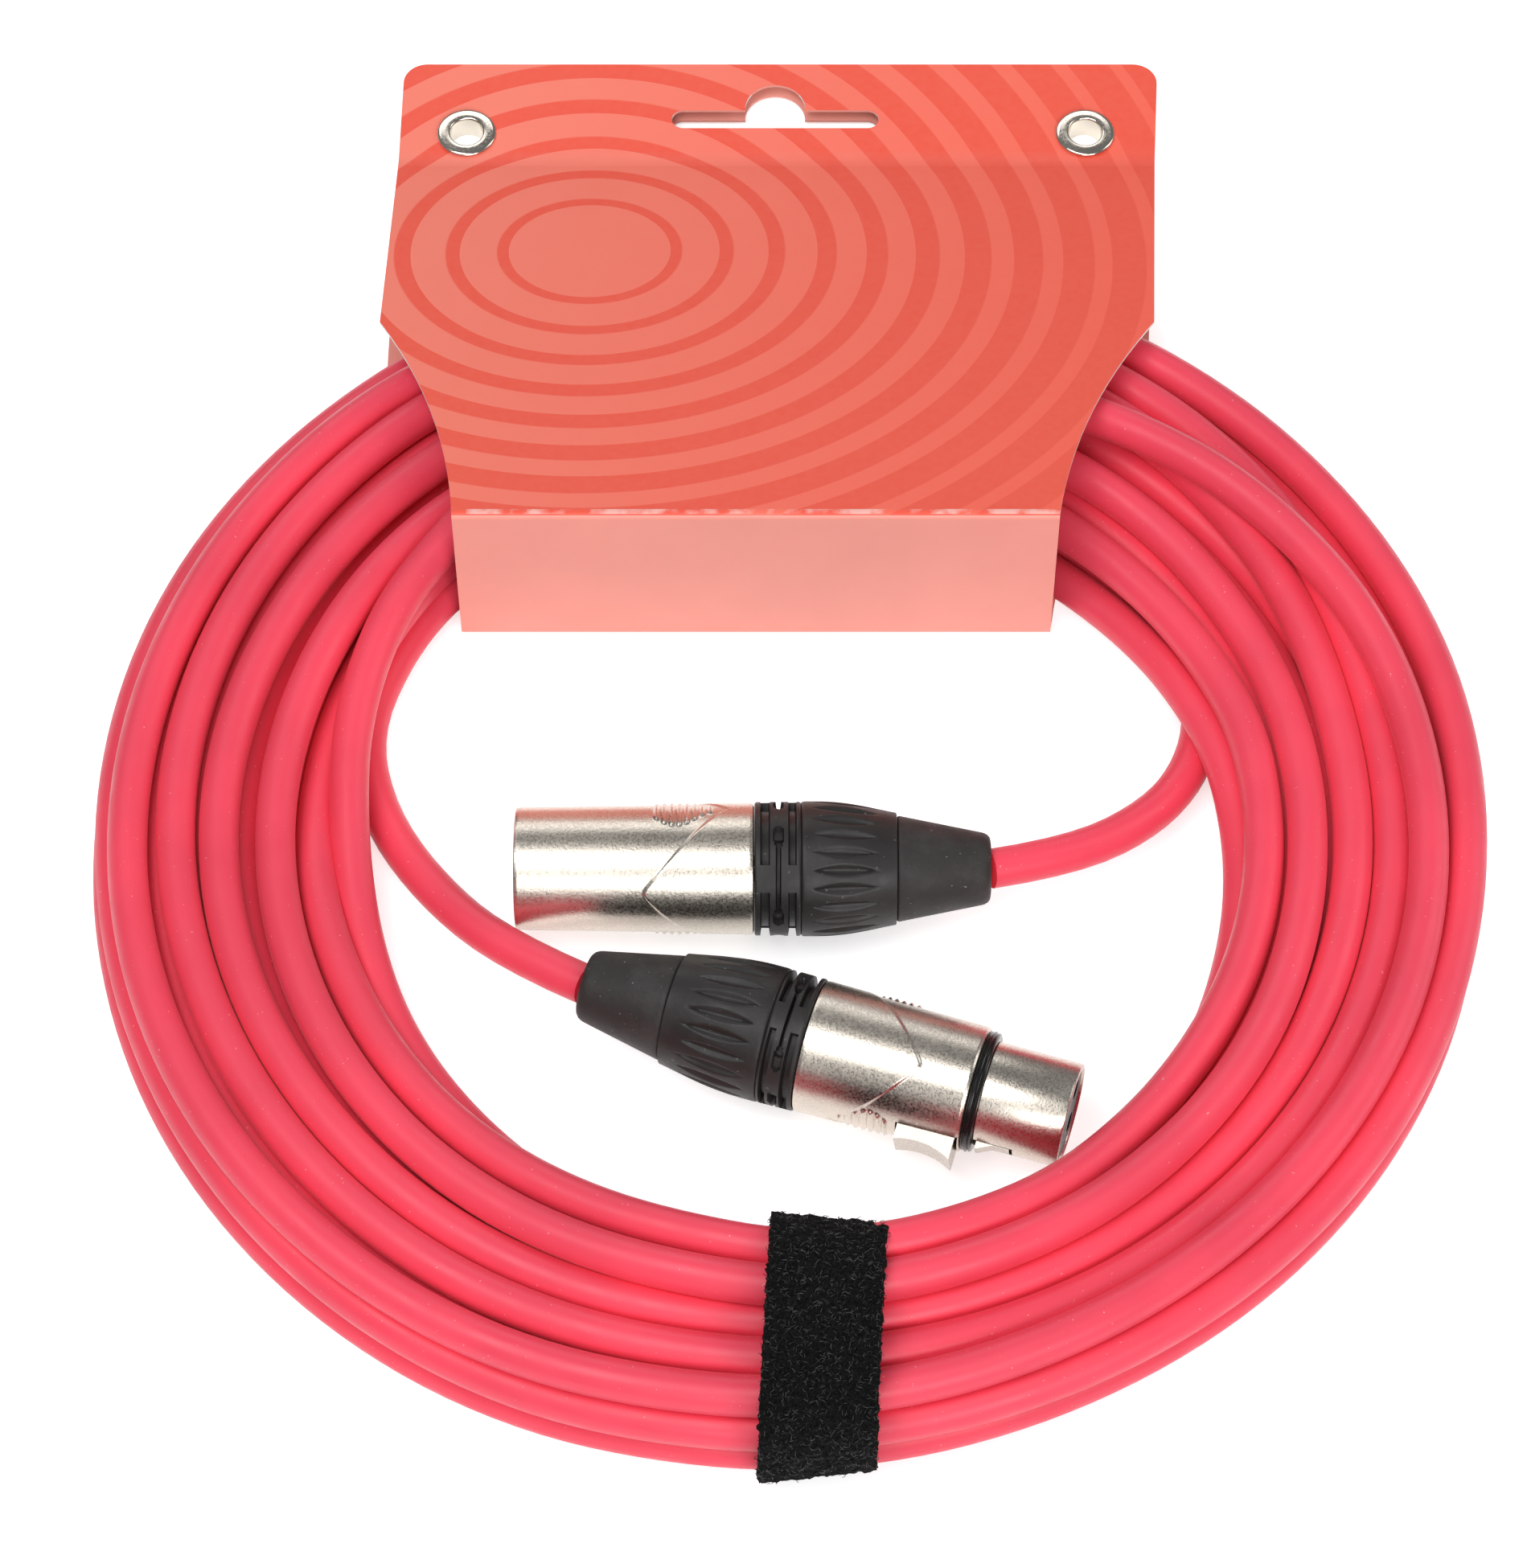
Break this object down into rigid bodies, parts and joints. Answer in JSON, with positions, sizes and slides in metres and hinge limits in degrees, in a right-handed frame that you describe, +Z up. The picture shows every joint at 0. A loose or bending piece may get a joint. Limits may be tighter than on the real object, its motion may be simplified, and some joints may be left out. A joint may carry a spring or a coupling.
{
  "type": "xlr cable coil",
  "caption": "Red microphone cable wound into a flat ring with male and female XLR connectors inside it, a hook-and-loop strap and a folded hanging card.",
  "frame": {"origin": "on the table under the middle of the whole object's outline", "axes": "+Z up from the table, +Y towards the card's hanging edge, +X to the right seen from the strap"},
  "size_m": [0.2148, 0.2658, 0.0335],
  "materials": {
    "red_jacket": "flexible red PVC jacket, satin",
    "satin_nickel": "nickel plated die casting, fine satin grain",
    "bright_nickel": "bright nickel plated pressing",
    "eyelet_nickel": "bright nickel plated brass",
    "printed_card": "coated card, orange-red print with pale rings, white cut edges",
    "hook_and_loop": "black napped hook-and-loop tape",
    "boot_rubber": "soft matt black elastomer",
    "gasket_rubber": "glossy black ring",
    "black_plastic": "moulded black nylon, satin",
    "insert_plastic": "moulded black insulator",
    "chuck_plastic": "moulded natural acetal",
    "contact_brass": "silver plated brass contacts",
    "core_sleeving": "thin core insulation",
    "spring_steel": "plain spring steel"
  },
  "bodies": {
    "root": {"cable_coil": "red_jacket", "cable_lead_female": "red_jacket", "cable_lead_male": "red_jacket", "female_boot": "boot_rubber", "female_cable_end": "red_jacket", "female_chuck": "chuck_plastic", "female_coding_ring": "black_plastic", "female_contact_1": "contact_brass", "female_contact_2": "contact_brass", "female_contact_3": "contact_brass", "female_cores": "core_sleeving", "female_gasket": "gasket_rubber", "female_insert": "insert_plastic", "female_latch_pin": "spring_steel", "female_nut": "black_plastic", "female_shell": "satin_nickel", "male_boot": "boot_rubber", "male_cable_end": "red_jacket", "male_chuck": "chuck_plastic", "male_coding_ring": "black_plastic", "male_cores": "core_sleeving", "male_ground_clip": "spring_steel", "male_insert": "insert_plastic", "male_nut": "black_plastic", "male_pin_1": "contact_brass", "male_pin_2": "contact_brass", "male_pin_3": "contact_brass", "male_shell": "satin_nickel", "strap_band": "hook_and_loop"},
    "latch": {"female_latch": "bright_nickel", "female_latch_spring": "spring_steel"},
    "card": {"header_card": "printed_card", "eyelet_left": "eyelet_nickel", "eyelet_right": "eyelet_nickel"},
    "tail": {"strap_tail": "hook_and_loop"}
  },
  "joints": [
    {"name": "latch_hinge", "type": "hinge", "parent": "root", "child": "latch", "pos_m": [0.01505, -0.07167, 0.00918], "axis": [-0.0765, -0.2472, 0.9659], "range_deg": [0, 4.5], "stiffness_Nm_per_rad": 0.4},
    {"name": "card_slide", "type": "hinge", "parent": "root", "child": "card", "pos_m": [0, -0.02215, 0.0007], "axis": [0, 0, 1], "range_deg": [-5, 5]},
    {"name": "strap_peel", "type": "hinge", "parent": "root", "child": "tail", "pos_m": [0.0051, -0.13225, 0.0131], "axis": [1, 0, 0], "range_deg": [0, 75]}
  ]
}
